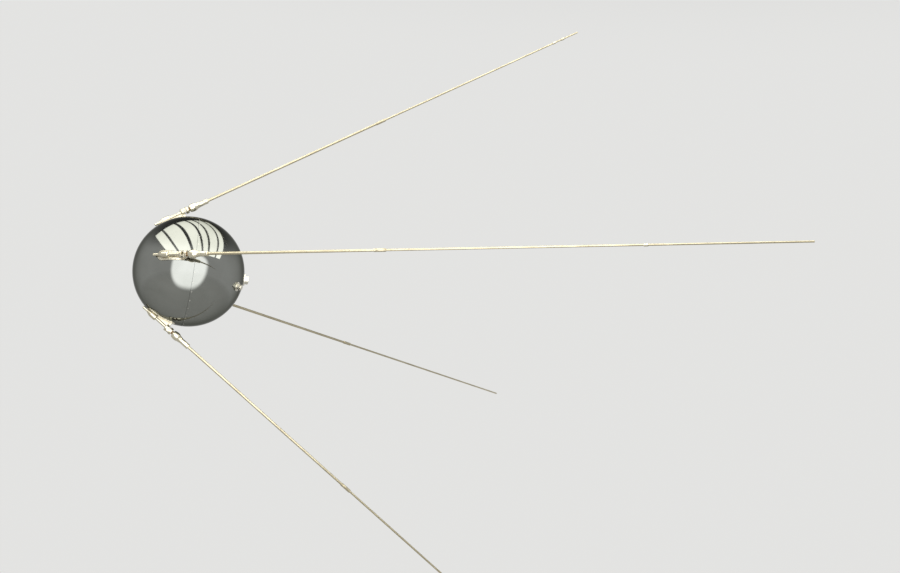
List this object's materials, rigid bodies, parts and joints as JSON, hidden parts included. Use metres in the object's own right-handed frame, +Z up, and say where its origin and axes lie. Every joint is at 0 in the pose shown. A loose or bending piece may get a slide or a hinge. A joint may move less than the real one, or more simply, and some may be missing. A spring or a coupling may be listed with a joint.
{
  "type": "ball-shaped satellite with swept whip antennas",
  "caption": "Mirror-polished hollow ball with swept whip antennas that fold inward on spring-opened root hinges, held by a round seat at its rear pole.",
  "frame": {"origin": "middle of the flat face of the round seat at the ball's rear pole", "axes": "+X runs back along the axis that the four antennas sweep round, out of the rear seat; +Z is up in the picture; +Y points away from the picture's camera"},
  "size_m": [2.7396, 4.169, 3.6918],
  "materials": {
    "polished_shell": "mirror polished",
    "polished_screen": "mirror polished",
    "inner_shell": "satin",
    "seal_rubber": "matt",
    "battery_case": "satin",
    "machined_metal": "turned",
    "bright_fittings": "polished",
    "pin_steel": "ground",
    "insulator_resin": "satin",
    "rod_metal": "drawn and polished"
  },
  "bodies": {
    "hull": {"rear_shell": "polished_shell", "front_shell": "inner_shell", "front_screen": "polished_screen", "seal_ring": "seal_rubber", "battery_block": "battery_case", "battery_carrier": "inner_shell", "rear_seat": "machined_metal", "filling_valve": "machined_metal", "antenna_base_up": "bright_fittings", "hinge_fork_up": "bright_fittings", "hinge_pin_up": "pin_steel", "antenna_base_near": "bright_fittings", "hinge_fork_near": "bright_fittings", "hinge_pin_near": "pin_steel", "antenna_base_down": "bright_fittings", "hinge_fork_down": "bright_fittings", "hinge_pin_down": "pin_steel", "antenna_base_far": "bright_fittings", "hinge_fork_far": "bright_fittings", "hinge_pin_far": "pin_steel"},
    "antenna_up": {"hinge_knuckle_up": "bright_fittings", "insulator_up": "insulator_resin", "flared_cup_up": "bright_fittings", "sleeve_up": "bright_fittings", "rod_lower_up": "rod_metal", "rod_upper_up": "rod_metal"},
    "antenna_near": {"hinge_knuckle_near": "bright_fittings", "insulator_near": "insulator_resin", "flared_cup_near": "bright_fittings", "sleeve_near": "bright_fittings", "rod_lower_near": "rod_metal", "rod_upper_near": "rod_metal"},
    "antenna_down": {"hinge_knuckle_down": "bright_fittings", "insulator_down": "insulator_resin", "flared_cup_down": "bright_fittings", "sleeve_down": "bright_fittings", "rod_lower_down": "rod_metal", "rod_upper_down": "rod_metal"},
    "antenna_far": {"hinge_knuckle_far": "bright_fittings", "insulator_far": "insulator_resin", "flared_cup_far": "bright_fittings", "sleeve_far": "bright_fittings", "rod_lower_far": "rod_metal", "rod_upper_far": "rod_metal"}
  },
  "joints": [
    {"name": "fold_up", "type": "hinge", "parent": "hull", "child": "antenna_up", "pos_m": [-0.37729, 0, 0.32314], "axis": [0, 1, 0], "range_deg": [0, 12], "stiffness_Nm_per_rad": 12, "springref_deg": -114.59},
    {"name": "fold_near", "type": "hinge", "parent": "hull", "child": "antenna_near", "pos_m": [-0.37729, -0.32314, 0], "axis": [0, 0, 1], "range_deg": [0, 12], "stiffness_Nm_per_rad": 12, "springref_deg": -114.59},
    {"name": "fold_down", "type": "hinge", "parent": "hull", "child": "antenna_down", "pos_m": [-0.37729, 0, -0.32314], "axis": [0, -1, 0], "range_deg": [0, 12], "stiffness_Nm_per_rad": 12, "springref_deg": -114.59},
    {"name": "fold_far", "type": "hinge", "parent": "hull", "child": "antenna_far", "pos_m": [-0.37729, 0.32314, 0], "axis": [0, 0, -1], "range_deg": [0, 12], "stiffness_Nm_per_rad": 12, "springref_deg": -114.59}
  ]
}
